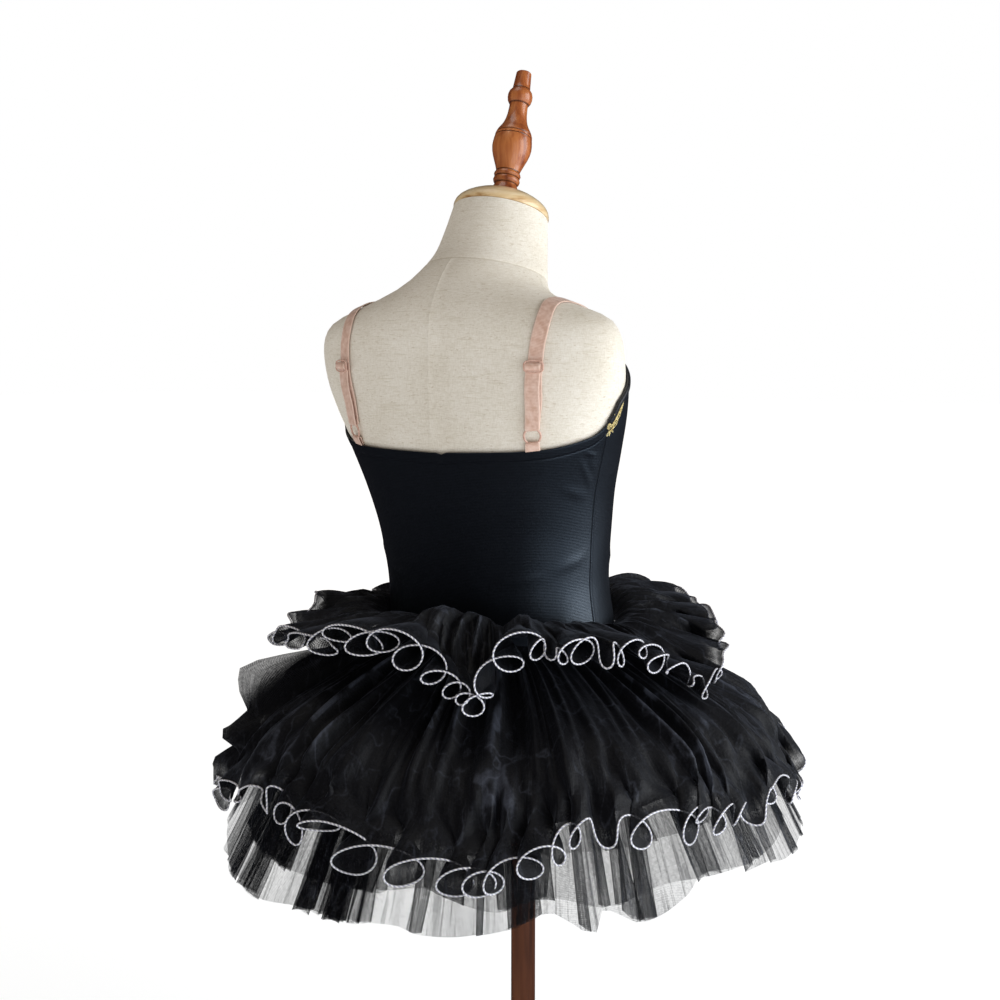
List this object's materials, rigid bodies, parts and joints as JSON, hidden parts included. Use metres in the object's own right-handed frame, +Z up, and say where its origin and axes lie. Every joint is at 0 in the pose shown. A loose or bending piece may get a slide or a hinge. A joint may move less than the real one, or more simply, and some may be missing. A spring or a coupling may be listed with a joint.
{
  "type": "ballet tutu on a dress form",
  "caption": "Child's black ballet tutu with gathered net skirts and corded curly edges, worn by a limbless linen dress form on a turned wooden stand.",
  "frame": {"origin": "centre of the underside of the stand's round base, on the floor", "axes": "+Z up along the pole; the wearer faces -Y, so the centre back is at +Y and the wearer's right side at -X"},
  "size_m": [0.5073, 0.513, 0.9084],
  "materials": {
    "linen": "slubby cream linen stretched over the form",
    "varnished_wood": "turned wood, reddish brown and glossy",
    "pale_wood": "pale turned wood, varnished",
    "black_lycra": "black stretch knit with a slight sheen",
    "black_binding": "narrow black binding",
    "gold_braid": "gold scrollwork trim",
    "nude_elastic": "satin elastic",
    "nude_enamel": "coated metal",
    "black_tulle": "fine black net",
    "black_satin": "opaque black lining",
    "silver_cord": "twisted white and silver cord"
  },
  "bodies": {
    "root": {"stand_base": "varnished_wood", "stand_pole": "varnished_wood", "finial": "varnished_wood", "neck_cap": "pale_wood", "form_torso": "linen", "bodice_back": "black_lycra", "bodice_front": "black_lycra", "neckline_binding": "black_binding", "gold_braid": "gold_braid", "strap_left": "nude_elastic", "strap_right": "nude_elastic", "strap_end_left": "nude_elastic", "strap_end_right": "nude_elastic", "tab_left": "nude_elastic", "tab_right": "nude_elastic", "ring_left": "nude_enamel", "ring_right": "nude_enamel", "slider_left": "nude_enamel", "slider_right": "nude_enamel", "peplum": "black_tulle", "tier": "black_tulle", "net_outer": "black_tulle", "net_inner": "black_tulle", "net_short": "black_tulle", "lining_skirt": "black_satin", "peplum_cord": "silver_cord", "tier_cord": "silver_cord"}
  },
  "joints": []
}
